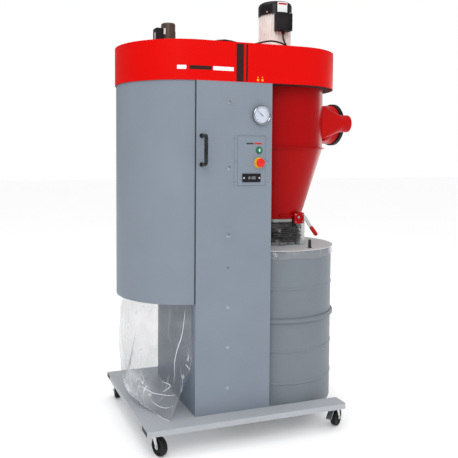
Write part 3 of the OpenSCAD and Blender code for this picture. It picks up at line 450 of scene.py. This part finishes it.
def finish_plastics():
    wheels = ["wheel_" + corner for corner in CORNERS]
    use(moulded("wheel_rubber", BLACK, 0.55, 0.3), *wheels, "drum_wheels_left", "drum_wheels_right")
    use(moulded("ring_rubber", BLACK, 0.42, 0.2), "inlet_ring")
    use(moulded("black_gloss_plastic", BLACK, 0.22, 0.05, gloss=0.2), "motor_cowl")
    use(moulded("black_box_plastic", (0.009, 0.009, 0.010), 0.5, 0.3, 500.0), "motor_box", "shaker_box")
    use(moulded("handle_plastic", BLACK, 0.25, 0.1, gloss=0.5), "push_handle", "lid_sensor")
    use(moulded("meter_plastic", (0.006, 0.006, 0.010), 0.3, 0.1), "hour_meter", "gauge_needle")
    use(moulded("start_green", (0.01, 0.23, 0.11), 0.3, 0.05, gloss=0.4, dust=(0.1, 0.3, 0.2)),
        "start_button")
    use(moulded("stop_yellow", (0.80, 0.42, 0.010), 0.35, 0.05, dust=(0.8, 0.5, 0.1)), "stop_collar")
    use(moulded("stop_red", (0.70, 0.012, 0.006), 0.28, 0.05, gloss=0.4, dust=(0.7, 0.1, 0.05)),
        "stop_button")
    use(moulded("grip_red", (0.48, 0.008, 0.008), 0.35, 0.15, dust=(0.5, 0.05, 0.05)), "lever_grip")
    use(pleat_paper(), "filter_cartridge")
    use(gauge_glass(), "gauge_lens")


def cast_ribs():
    """Silver-white paint on cast aluminium."""
    m = Material("motor_silver_paint", Coat_Weight=0.1, Coat_Roughness=0.3)
    cloud = m.noise(30.0, 4.0, 0.6)
    m.into(m.ramp(cloud, [(0.35, (0.80, 0.82, 0.79)), (0.6, (0.88, 0.90, 0.86)), (0.85, (0.92, 0.93, 0.90))]),
           "Base Color")
    m.into(m.remap(cloud, 0.3, 0.75, 0.3, 0.46), "Roughness")
    m.into(m.bump(m.noise(500.0, 3.0, 0.6), 0.2, 0.0005), "Normal")
    return m.data


def pleat_paper():
    """Spun filter paper."""
    m = Material("filter_paper", Roughness=0.9)
    fibre = m.noise(260.0, 5.0, 0.7, distortion=0.8)
    m.into(m.ramp(fibre, [(0.3, (0.62, 0.60, 0.53)), (0.7, (0.84, 0.82, 0.75))]), "Base Color")
    m.into(m.bump(fibre, 0.4, 0.0006), "Normal")
    return m.data


def gauge_glass():
    """Clear pane, very slightly uneven."""
    m = Material("gauge_glass", Roughness=0.03, IOR=1.45, Alpha=0.12, Base_Color=(0.9, 0.93, 1.0, 1.0))
    m.into(m.bump(m.noise(12.0, 2.0), 0.02, 0.001), "Normal")
    return m.data


# ---------- sizes shared with the CAD, in millimetres ----------

HOOD_XL, HOOD_Y, HOOD_R = -296, -2, 274       # left round end of the hood
PANEL_Y = -275                                # face of the front panel
PLATE_Y = -276.2                              # face of the control plate
AXIS = (168, 4)                               # cyclone, fan and main motor
DRUM, DRUM_R, DRUM_TOP = (153, 6), 277, 760
SHAKER, SHAKER_R = (-331, 39), 32.3           # the cleaning motor, and its labels
SPOUT_R, SPOUT_X = 247, -322                  # D-shaped spout of the bag
LID_TOP = 764                                 # flat top of the drum's lid
SLEEVE_TOP, SLEEVE_R = 883, 132.3             # upper end of the soft sleeve, and its plain cuffs
COWL_R, COWL_Z = 75.5, 1794                   # side and lower edge of the main motor's cowl
GAUGE, DIAL_R = (-37, 1325), 32.6             # middle of the gauge, and its card
START = (-43.5, 1183)                         # middle of the start button
METER, METER_W, METER_H = (-117, 1054), 80, 34    # lower left corner, width and height of the hour meter
LIP_Z, DECK_UNDER, DECK_LEFT = 93, 111, -536  # folded lip's lower edge, deck's underside and left edge

# Routes of the two cables on the hood, the same as in the CAD
MAIN_CABLE = [(162, -87, 1699.4), (162, -87, 1690), (164, -91, 1671), (172, -95, 1651),
              (182, -95, 1635), (187, -94, 1624), (187, -94, 1612)]
HOOD_CABLE = [(-384, 30, 1645.9), (-384, 29, 1637), (-380, 8, 1625), (-362, -40, 1617),
              (-318, -96, 1616.5), (-272, -150, 1617), (-218, -186, 1624), (-162, -196, 1632),
              (-106, -198, 1624), (-62, -198, 1617), (-14, -198, 1629), (44, -198, 1642),
              (94, -196, 1637), (132, -187, 1625), (164, -168, 1618), (184, -140, 1620),
              (190, -118, 1626), (192, -107, 1621), (192, -106, 1612)]
CABLE_R = 3.5


def mm(x, y, z):
    return Vector((x, y, z)) * MM


# ---------- dust bag ----------

BAG_TOP, BAG_CLAMPED, BAG_FOOT = 590, 562, 116.2     # its rim, where it leaves the spout, and its weld
BAG_R, BAG_X = SPOUT_R + 1.7, SPOUT_X + 1.6
INNER_SLOPE, OUTER_TUCK = 335, 215                   # where its two sides start to draw in
FRONT_LIMIT = -290.0                                 # the film's folds stay behind this
SWELL, RIDGE, FINE_RIDGE, GATHER = 13, 15, 5, 3.0    # how far it swells out and its folds go in
WELD = [(-423, -284), (-440, -254), (-450, -212), (-461, -161),
        (-474, -102), (-485, -30), (-489, 60), (-496, 200)]


def spout_outline(count):
    """Points round the D, from its front corner along the flat side and back round the arc."""
    reach = BAG_X - HOOD_XL
    half = math.sqrt(BAG_R ** 2 - reach ** 2)
    start = math.atan2(half, reach)
    arc = 2 * (math.pi - start) * BAG_R
    total = 2 * half + arc
    for k in range(count):
        s = total * k / count
        if s < 2 * half:
            yield Vector((BAG_X, HOOD_Y - half + s))
        else:
            a = start + (s - 2 * half) / BAG_R
            yield Vector((HOOD_XL + BAG_R * math.cos(a), HOOD_Y + BAG_R * math.sin(a)))


BAG_OUTLINE = list(spout_outline(440))


def along(points, share):
    """Point at a share of the way through a list of 2-D points."""
    place = max(0.0, min(1.0, share)) * (len(points) - 1)
    k = min(int(place), len(points) - 2)
    return Vector(points[k]).lerp(Vector(points[k + 1]), place - k)


def ease(t):
    """Smooth step from 0 to 1."""
    t = max(0.0, min(1.0, t))
    return t * t * (3 - 2 * t)


def bag_point(turn, z):
    """Place on the film, turn 0..2 round the spout's D, at a height in millimetres.

    The inner side slopes straight to the weld; the outer side hangs full and tucks in near the deck.
    """
    count = len(BAG_OUTLINE)
    place = (turn % 2) / 2 * count
    k = int(place) % count
    top = BAG_OUTLINE[k].lerp(BAG_OUTLINE[(k + 1) % count], place - int(place))
    inner = turn % 2 <= 1
    share = turn % 2 if inner else 2 - turn % 2
    outer = 0.0 if inner else math.sin(math.pi * share) ** 0.5
    start = INNER_SLOPE - (INNER_SLOPE - OUTER_TUCK) * outer
    t = max(0.0, min(1.0, (start - z) / (start - BAG_FOOT)))
    narrow = t * (1 - outer) + (1 - math.sqrt(1 - t * t)) * outer
    weld = along(WELD, share) + Vector((0.8 if inner else -0.8, 0))
    p = top.lerp(weld, narrow)
    out = (p - Vector((HOOD_XL - 120 * narrow, HOOD_Y))).normalized()
    q = Vector((p.x * 0.006, p.y * 0.006, z * 0.0035))
    ridge = abs(noise.noise(q * 1.6 + Vector((3.1, 0, 0))))
    fine = abs(noise.noise(q * 3.6 + Vector((0, 7.7, 0))))
    gather = math.sin(turn * math.pi * 12 + 3.0 * noise.noise(q)) * ease((narrow - 0.2) / 0.8)
    swell = SWELL * math.sin(math.pi * max(0.0, min(1.0, (BAG_CLAMPED - z) / 360)))
    loose = ease((BAG_CLAMPED - z) / 60) * (1 - 0.85 * narrow)
    sway = loose * (swell - RIDGE * ridge - FINE_RIDGE * fine) + GATHER * gather * (1 - narrow)
    p = p + out * sway
    return mm(min(p.x, BAG_X), max(p.y, FRONT_LIMIT), z)


def bag_rings(count=220, levels=104):
    """Rings of the pillow bag: a D under the clamp that closes to the weld on the deck."""
    heights = [BAG_TOP + (BAG_FOOT - BAG_TOP) * (level / levels) for level in range(levels + 1)]
    return [[bag_point(2 * k / count, z) for k in range(count)] for z in heights]


# Sharp creases of the film, drawn as white beads of painted highlight: how far round the D and at what height
# each of their points lies
CREASES = [
    [(1.955, 548), (1.945, 500), (1.93, 440), (1.90, 380), (1.885, 320), (1.89, 255)],
    [(1.80, 250), (1.86, 235), (1.80, 205)],
    [(1.62, 214), (1.72, 200), (1.84, 197), (1.92, 204)],
    [(1.50, 470), (1.52, 410), (1.49, 360)],
    [(1.70, 165), (1.78, 150), (1.86, 152), (1.93, 165)],
]


def film_bag():
    """The clear bag, with painted white highlights along the sharpest of its creases, and its weld."""
    film = clear_film("clear_bag_film", (0.19, 0.21, 0.24), thin=0.13, milk=0.9, lines=6.5, low_z=0.17)
    piece = new_piece("dust_bag_film", lambda bm: loft(bm, bag_rings()), film, "machine", 180)
    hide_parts("dust_bag")

    def ridges(bm):
        """White beads of painted highlight along the creases, and the weld along the bag's foot."""
        for path in CREASES:
            route = smooth_route([Vector((a, z, 0)) for a, z in path], 9)
            points = [bag_point(p.x, p.y) + Vector((0, -0.6, 0)) * MM for p in route]
            tube(bm, points, lambda t: (0.25 + 1.0 * math.sin(math.pi * t)) * MM, 8)
        tube(bm, smooth_route([mm(x, y, BAG_FOOT + 0.8) for x, y in WELD], 10), 1.3 * MM, 8)

    # Painted highlight on the creases; the weld seam shares this white.
    white = moulded("crease_highlight_and_weld_white", (0.80, 0.84, 0.90), 0.2, 0.05, gloss=0.5, dust=(0.9, 0.9, 0.9))
    new_piece("bag_crease_highlights_and_weld", ridges, white, "machine", 180)


# ---------- sleeve, liner and cables ----------

def sleeve_ring(z, low, around=168):
    """One ring of the sleeve's outside: a plain cuff near both ends, uneven folds between them."""
    bottom_cuff, top_cuff, fold_pitch = 20, 17, 19.5
    free = ease((z - low - bottom_cuff) / 11) * ease((SLEEVE_TOP - top_cuff - z) / 12)
    ring = []
    for a in turns(around):
        drift = noise.noise(Vector((math.cos(a) * 2.2, math.sin(a) * 2.2, z * 0.011))) * 9
        fold = 0.5 + 0.5 * math.cos(2 * math.pi * (z - low + drift) / fold_pitch)
        crease = abs(noise.noise(Vector((math.cos(a) * 5, math.sin(a) * 5, z * 0.05))))
        r = SLEEVE_R + free * (2.5 + 6.5 * fold ** 1.6 + 5.5 * (0.35 - crease))
        ring.append(mm(AXIS[0] + r * math.cos(a), AXIS[1] + r * math.sin(a), z))
    return ring


def creased_black_film():
    """Glossy black film, with grey patches painted as highlights on its folds."""
    m = Material("creased_black_film", Coat_Weight=0.5, Coat_Roughness=0.12)
    cloud = m.noise(14.0, 4.0, 0.6, distortion=1.0, at=m.scaled((1.0, 1.0, 3.5)))
    # Painted highlight: the grey stop stands for light catching the folds.
    shades = [(0.35, (0.008, 0.008, 0.009)), (0.56, (0.02, 0.02, 0.022)), (0.68, (0.22, 0.21, 0.19))]
    m.into(m.ramp(cloud, shades), "Base Color")
    m.into(m.remap(cloud, 0.3, 0.7, 0.18, 0.42), "Roughness")
    wrinkles = m.noise(30.0, 3.0, 0.5, distortion=1.5, at=m.scaled((1.0, 1.0, 2.0)))
    m.into(m.bump(wrinkles, 0.5, 0.006), "Normal")
    return m.data


def crumpled_sleeve():
    """The soft sleeve between the cone and the drum's lid, gathered in uneven folds."""
    low, levels = LID_TOP + 3, 72
    wall = 0.8 / 133                                 # its thickness as a share of its radius

    def build(bm):
        outside, inside = [], []
        for level in range(levels + 1):
            z = low + (SLEEVE_TOP - low) * level / levels
            centre = mm(*AXIS, z)
            outside.append(sleeve_ring(z, low))
            inside.append([centre + (p - centre) * (1 - wall) for p in outside[-1]])
        loft(bm, outside + inside[::-1] + outside[:1])
        bmesh.ops.remove_doubles(bm, verts=bm.verts, dist=1e-7)

    piece = new_piece("crumpled_sleeve", build, creased_black_film(), "machine", 180)
    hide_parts("outlet_bellows")
    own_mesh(piece)


def liner_fringe():
    """Edge of the drum's plastic liner, hanging out under the lid."""
    around, levels = 260, 12

    def build(bm):
        rings = []
        for t in (level / levels for level in range(levels + 1)):
            ring = []
            for a in turns(around):
                depth = 30 + 10 * noise.noise(Vector((math.cos(a) * 3, math.sin(a) * 3, 0)) * 1.7)
                ripple = noise.noise(Vector((math.cos(a) * 22, math.sin(a) * 22, t * 1.2)))
                r = DRUM_R + 3.4 + t * (2.6 + 3.2 * ripple)
                z = DRUM_TOP - 0.8 - t * depth
                ring.append(mm(DRUM[0] + r * math.cos(a), DRUM[1] + r * math.sin(a), z))
            rings.append(ring)
        loft(bm, rings)

    film = clear_film("clear_liner_film", (0.45, 0.46, 0.47), thin=0.16, milk=0.9, lines=16.0)
    piece = new_piece("liner_fringe", build, film, "drum", 180)
    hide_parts("drum_liner")


def top_cables():
    """The two cables on the hood, each from its gland or box down through the hood's top."""
    jacket = moulded("cable_jacket", (0.012, 0.012, 0.013), 0.45, 0.15, 900.0)
    for name, route, steps in (("fan_cable", MAIN_CABLE, 5), ("cleaner_cable", HOOD_CABLE, 2)):
        path = smooth_route([mm(*p) for p in route], steps)
        piece = new_piece(name, lambda bm: tube(bm, path, CABLE_R * MM, 14), jacket, "machine",
                          60)
        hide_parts("motor_cables")


# ---------- front of the column ----------

def front_turned(bm, centre, profile, sides):
    """Body of revolution that faces the front: profile holds (radius, how far it stands out)."""
    x, y, z = centre
    rings = [[mm(x + r * math.cos(a), y - out, z + r * math.sin(a)) for a in turns(sides)]
             for r, out in profile]
    loft(bm, rings, caps=(True, True))


def disc(bm, centre, radius, thick, sides=28):
    """Thin disc that faces the front, its edge broken."""
    front_turned(bm, centre, ((radius, 0.0), (radius, thick * 0.6), (radius - 0.3 * thick, thick)), sides)


def screw_head(bm, centre, radius, height, sides=24):
    """Domed head with its recess left as a dip, facing the front."""
    dome = ((1, 0), (1, 0.3), (0.86, 0.72), (0.55, 0.96), (0.3, 1.0), (0.2, 0.55))
    front_turned(bm, centre, [(radius * r, height * h) for r, h in dome], sides)


def plate_print():
    """The control plate's printed border and its two plain bars."""
    x0, x1, z0, z1, line = -139, -14, 1039, 1241, 1.6
    bar_foot, bar_top = 1206.5, 1213
    back, face = PLATE_Y + 0.1, PLATE_Y - 0.25

    def border(bm):
        for low, high in (((x0, z0), (x1, z0 + line)), ((x0, z1 - line), (x1, z1)),
                          ((x0, z0 + line), (x0 + line, z1 - line)),
                          ((x1 - line, z0 + line), (x1, z1 - line))):
            slab(bm, mm(low[0], face, low[1]), mm(high[0], back, high[1]))

    def plain_bar(low, high):
        return lambda bm: slab(bm, mm(low, face, bar_foot), mm(high, back, bar_top))

    grey = moulded("grey_print_ink", (0.11, 0.13, 0.16), 0.5, 0.05)
    new_piece("plate_border", border, grey, "machine")
    ink = moulded("dark_print_ink", (0.035, 0.04, 0.05), 0.5, 0.05)
    new_piece("plate_dark_bar", plain_bar(-100, -68), ink, "machine")
    red = moulded("red_print_ink", (0.50, 0.02, 0.02), 0.5, 0.05, dust=(0.5, 0.05, 0.05))
    new_piece("plate_red_bar", plain_bar(-64, -32), red, "machine")


def start_button_details():
    """The start button's bezel, and the plain bar on the button."""
    x, z = START

    def bezel(bm):
        profile = ((11.3, -0.2), (14.4, -0.2), (14.4, 0.2), (13.8, 0.8), (11.9, 0.8), (11.3, 0.3))
        turned_ring(bm, mm(x, PLATE_Y - 2.5, z), (0, -1, 0), [(r * MM, h * MM) for r, h in profile], 48)

    def start_bar(bm):
        slab(bm, mm(x - 2.6, PLATE_Y - 6.3, z - 5.5), mm(x + 2.6, PLATE_Y - 5.9, z + 5.5), 0.1 * MM)

    green = moulded("bezel_green", (0.006, 0.085, 0.05), 0.3, 0.05, dust=(0.1, 0.2, 0.15))
    new_piece("start_bezel", bezel, green, "machine")
    pale = moulded("pale_print_ink", (0.70, 0.72, 0.72), 0.5, 0.05, dust=(0.6, 0.6, 0.6))
    new_piece("start_mark", start_bar, pale, "start")


def meter_details():
    """Screws, counter window and round indicator of the hour meter."""
    x, z = METER
    middle = z + METER_H / 2
    recess = PLATE_Y - 2.7

    def meter_screws(bm):
        for screw_x in (x + 6, x + METER_W - 6):
            screw_head(bm, (screw_x, PLATE_Y - 4, middle), 3.8, 1.4)

    def meter_window(bm):
        slab(bm, mm(x + 40, recess - 0.8, middle - 6), mm(x + 58, recess, middle + 6), 0.1 * MM)
        profile = ((0.1, 0), (6.4, 0), (6.4, 0.7), (4.6, 1.1), (0.1, 1.1))
        turned_ring(bm, mm(x + 30, recess, middle), (0, -1, 0), [(r * MM, h * MM) for r, h in profile], 32)

    new_piece("meter_screws", meter_screws, bare_metal("pale_screw", (0.8, 0.8, 0.8)), "machine")
    dim = moulded("meter_window_grey", (0.14, 0.14, 0.15), 0.2, 0.05)
    new_piece("meter_window", meter_window, dim, "machine")


def deck_end_shadows():
    """Near-black blocks in the two open ends of the deck's folded left edge, painted as the shadow inside
    them.
    """
    def build(bm):
        for y0, y1 in ((-348.5, -278), (298, 348.5)):
            slab(bm, mm(DECK_LEFT + 0.4, y0, LIP_Z + 1), mm(DECK_LEFT + 5, y1, DECK_UNDER - 0.4), 0.8 * MM)

    # Painted shadow: this dark colour stands for the shade inside the hollow ends.
    black = moulded("deck_end_shadow_dark", (0.02, 0.026, 0.03), 0.5, 0.2)
    new_piece("deck_end_shadows", build, black, "machine")


def gauge_dial():
    """The gauge's card and its marks, a long one after every four short ones."""
    x, z = GAUGE
    face_y = PANEL_Y - 8
    marks_r, first_angle, sweep, spaces = 29, 225, 270, 40

    def face(bm):
        disc(bm, (x, face_y, z), DIAL_R, 0.5, 64)

    def marks(bm):
        for k in range(spaces + 1):
            angle = math.radians(first_angle - sweep * k / spaces)
            length, width = (5.0, 0.45) if k % 5 == 0 else (2.6, 0.25)
            out = Vector((math.cos(angle), math.sin(angle)))
            side = Vector((-out.y, out.x)) * width
            inner_r = marks_r - length
            corners = [out * marks_r + side, out * marks_r - side, out * inner_r - side, out * inner_r + side]
            loft(bm, [[mm(x + c.x, face_y - t, z + c.y) for c in corners] for t in (0.45, 0.75)],
                 caps=(True, True))

    dial = Material("dial_card", Roughness=0.5)
    card = [(0.3, (0.50, 0.55, 0.66)), (0.7, (0.62, 0.67, 0.78))]
    dial.into(dial.ramp(dial.noise(30.0), card), "Base Color")
    new_piece("gauge_dial", face, dial.data, "machine")
    new_piece("gauge_marks", marks, moulded("dial_ink", (0.02, 0.03, 0.10), 0.5, 0.05), "machine")


def panel_gap_shadow():
    """Dark strip in the gap between the front panel and the filter housing, painted as the shadow in that
    gap.
    """
    def build(bm):
        slab(bm, mm(-318.5, -273.6, 570), mm(-315.1, -262, 1454), 0.5 * MM)

    # Painted shadow: the strip is near black for the shade in the gap.
    new_piece("panel_gap_shadow", build, moulded("gap_shadow_dark", (0.02, 0.022, 0.03), 0.6, 0.2), "machine")


# ---------- plain graphics on the hood ----------

def hood_strip(bm, s0, s1, z0, z1, thick=0.35):
    """Thin sticker that follows the hood from s0 to s1, measured from the end of its left curve."""
    count = max(2, int(abs(s1 - s0) / 6))

    def spot(s, proud, z):
        r = HOOD_R + proud
        if s >= 0:
            return mm(HOOD_XL + s, HOOD_Y - r, z)
        a = -s / HOOD_R
        return mm(HOOD_XL - r * math.sin(a), HOOD_Y - r * math.cos(a), z)

    rings = []
    for k in range(count + 1):
        s = s0 + (s1 - s0) * k / count
        rings.append([spot(s, 0.02, z0), spot(s, thick, z0), spot(s, thick, z1), spot(s, 0.02, z1)])
    loft(bm, rings, caps=(True, True))


def hood_graphics():
    """Plain bars in a row, two upright stripes and four small dots."""
    row, upright = (1496, 1511), (1457, 1606)

    def dark_shapes(bm):
        hood_strip(bm, -48, 44, *row)
        hood_strip(bm, 150, 182, *upright)
        hood_strip(bm, 192, 200, *upright)

    def white_shapes(bm):
        hood_strip(bm, 50, 138, *row)
        hood_strip(bm, -96, -60, *row)

    def dots(bm):
        for x in (-51, -31):
            disc(bm, (x, HOOD_Y - HOOD_R, 1466), 5.2, 0.4)
            disc(bm, (x, HOOD_Y - HOOD_R, 1477), 2.4, 0.4)

    dark = moulded("dark_sticker", (0.030, 0.012, 0.012), 0.35, 0.05, dust=(0.1, 0.05, 0.05))
    new_piece("hood_dark_graphics", dark_shapes, dark, "machine")
    white = moulded("white_sticker", (0.86, 0.86, 0.86), 0.35, 0.05, dust=(0.8, 0.8, 0.8))
    new_piece("hood_white_graphics", white_shapes, white, "machine")
    amber = moulded("amber_sticker", (0.90, 0.36, 0.01), 0.35, 0.05, dust=(0.9, 0.4, 0.1))
    new_piece("hood_amber_dots", dots, amber, "machine")


# ---------- motors ----------

def wrapped_label(bm, centre, radius, a0, a1, z0, z1, thick=0.35):
    """Label bent round a vertical cylinder, between two directions in degrees."""
    count = max(3, int(abs(a1 - a0) / 3))
    rings = []
    for k in range(count + 1):
        a = math.radians(a0 + (a1 - a0) * k / count)
        out = Vector((math.cos(a), math.sin(a), 0))
        place = Vector((*centre, 0))
        rings.append([(place + out * r + Vector((0, 0, z))) * MM
                      for r, z in ((radius, z0), (radius + thick, z0), (radius + thick, z1), (radius, z1))])
    loft(bm, rings, caps=(True, True))


def motor_details():
    """Blank labels on both motors and the cowl's four screws."""
    cx, cy = AXIS
    sx, sy = SHAKER
    box_face, flat_r = sx - 62, 500                  # the box's label is a short arc of a wide circle

    def labels(bm):
        wrapped_label(bm, (cx, cy), COWL_R + 0.02, -109, -72, COWL_Z + 6, COWL_Z + 50)
        wrapped_label(bm, (sx, sy), SHAKER_R, -158, -128, 1683, 1708)
        wrapped_label(bm, (sx, sy), SHAKER_R, -152, -134, 1652, 1664)
        wrapped_label(bm, (box_face + flat_r, sy), flat_r + 0.05, 180.4, 181.6, 1662, 1690)

    def red_bar(bm):
        wrapped_label(bm, (cx, cy), COWL_R + 0.3, -106, -75, COWL_Z + 38, COWL_Z + 46, 0.3)

    def screws(bm):
        profile = ((0.1, -0.5), (3.2, -0.5), (3.2, 0.8), (2.2, 1.8), (0.1, 2.0))
        for a in (math.radians(angle) for angle in (-145, -55, 35, 125)):
            out = Vector((math.cos(a), math.sin(a), 0))
            foot = (Vector((cx, cy, COWL_Z + 8)) + out * COWL_R) * MM
            turned_ring(bm, foot, out, [(r * MM, h * MM) for r, h in profile], 24)

    paper = moulded("label_white", (0.80, 0.82, 0.82), 0.4, 0.05, dust=(0.7, 0.7, 0.7))
    new_piece("motor_labels", labels, paper, "machine")
    stripe = moulded("label_red", (0.45, 0.02, 0.03), 0.4, 0.05, dust=(0.5, 0.1, 0.1))
    new_piece("motor_label_bar", red_bar, stripe, "machine")
    new_piece("cowl_screws", screws, bare_metal("cowl_screw_zinc", (0.85, 0.85, 0.85)), "machine")


# ---------- softened edges of folded sheet and boxes ----------

def soften(width, *nodes):
    """Small rounds on the folded and moulded edges, on top of the CAD mesh."""
    for name in nodes:
        modifiers = NODES[name].modifiers
        weld = modifiers.new("weld", "WELD")
        weld.merge_threshold = 1e-6
        flat = modifiers.new("flat", "DECIMATE")
        flat.decimate_type = "DISSOLVE"
        flat.angle_limit = math.radians(1)
        bevel = modifiers.new("bevel", "BEVEL")
        bevel.width = width * MM
        bevel.segments = 2
        bevel.limit_method = "ANGLE"
        bevel.angle_limit = math.radians(50)


make_camera()
top_cables()
make_stage()
paint_sheet_metal()
finish_metal_parts()
finish_plastics()
soften(0.8, "base_deck", "column_front", "hour_meter")
soften(2.0, "motor_box", "shaker_box")
film_bag()
crumpled_sleeve()
liner_fringe()
plate_print()
start_button_details()
meter_details()
gauge_dial()
panel_gap_shadow()
deck_end_shadows()
hood_graphics()
motor_details()
